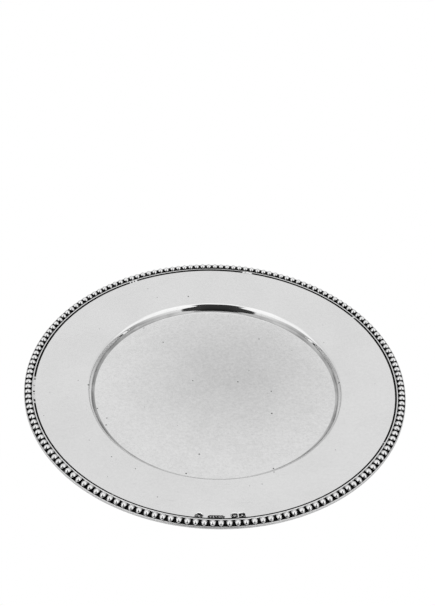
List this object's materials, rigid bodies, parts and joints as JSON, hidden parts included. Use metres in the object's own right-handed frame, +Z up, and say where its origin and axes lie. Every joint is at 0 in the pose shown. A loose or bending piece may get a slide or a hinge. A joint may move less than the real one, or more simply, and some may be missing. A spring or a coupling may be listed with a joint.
{
  "type": "paten plate",
  "caption": "Round silver paten with a shallow flat-bottomed well, a wide plain rim rising gently outwards and a soldered border of beaded wire.",
  "frame": {"origin": "centre of the flat foot that the plate stands on", "axes": "+Z up, out of the plate's open top; -Y towards the four small marks on the rim"},
  "size_m": [0.165, 0.165, 0.0095],
  "materials": {
    "sheet_silver": "sterling silver sheet, hand-polished to a soft satin, with fine scratches and a few pits",
    "border_silver": "sterling silver wire, bright bead tops with black oxide left between the beads",
    "solder": "silver solder, tarnished dark along the joint"
  },
  "bodies": {
    "root": {"plate_body": "sheet_silver", "beaded_border": "border_silver", "border_solder": "solder", "border_joint_solder": "solder"}
  },
  "joints": []
}
